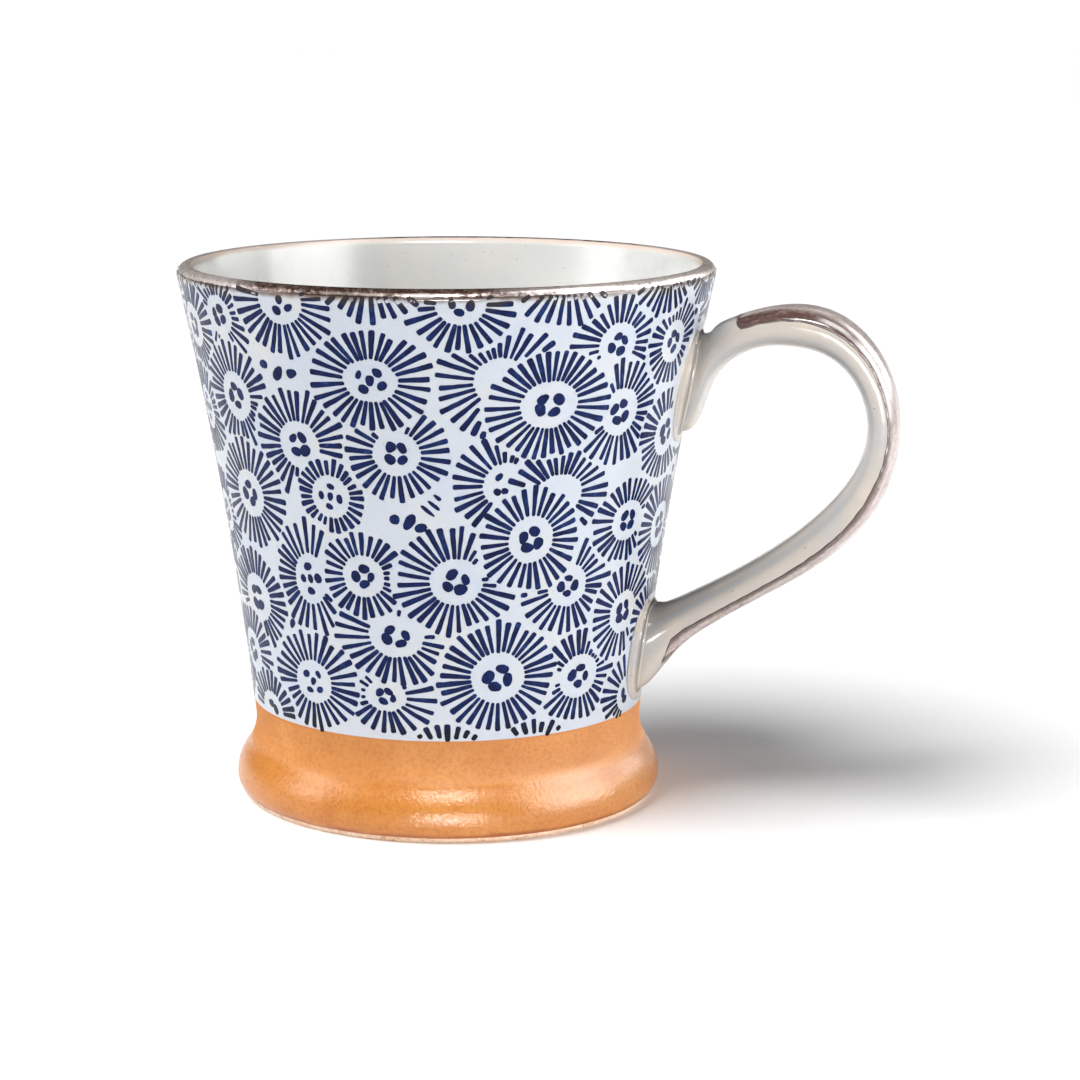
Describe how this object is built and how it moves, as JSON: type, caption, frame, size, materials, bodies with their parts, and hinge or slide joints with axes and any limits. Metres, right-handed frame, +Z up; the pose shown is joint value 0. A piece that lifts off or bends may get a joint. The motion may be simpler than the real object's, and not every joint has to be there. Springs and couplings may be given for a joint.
{
  "type": "stoneware mug",
  "caption": "Flared stoneware mug with a spread foot and a looped strap handle, pale outside and inside, amber at the foot, with a brown oxide rim.",
  "frame": {"origin": "on the cup's axis in the plane that the foot ring stands on", "axes": "+Z up along the cup's axis; +X towards the handle; the handle's loop lies in the XZ plane"},
  "size_m": [0.1279, 0.095, 0.096],
  "materials": {
    "fired_clay": "bare, matt, sandy",
    "outer_glaze": "glossy",
    "liner_glaze": "glossy",
    "handle_glaze": "glossy, finely specked",
    "amber_glaze": "satin, finely specked",
    "iron_oxide": "semi-gloss, metallic sheen",
    "cobalt_print": "under the glaze, glossy"
  },
  "bodies": {
    "root": {"cup_body": "fired_clay", "handle": "fired_clay", "upper_slip_joint": "handle_glaze", "lower_slip_joint": "handle_glaze", "liner_glaze": "liner_glaze", "outer_glaze": "outer_glaze", "rim_oxide_band": "iron_oxide", "foot_glaze": "amber_glaze", "base_glaze": "amber_glaze", "handle_glaze": "handle_glaze", "handle_oxide_stripe": "iron_oxide"}
  },
  "joints": []
}
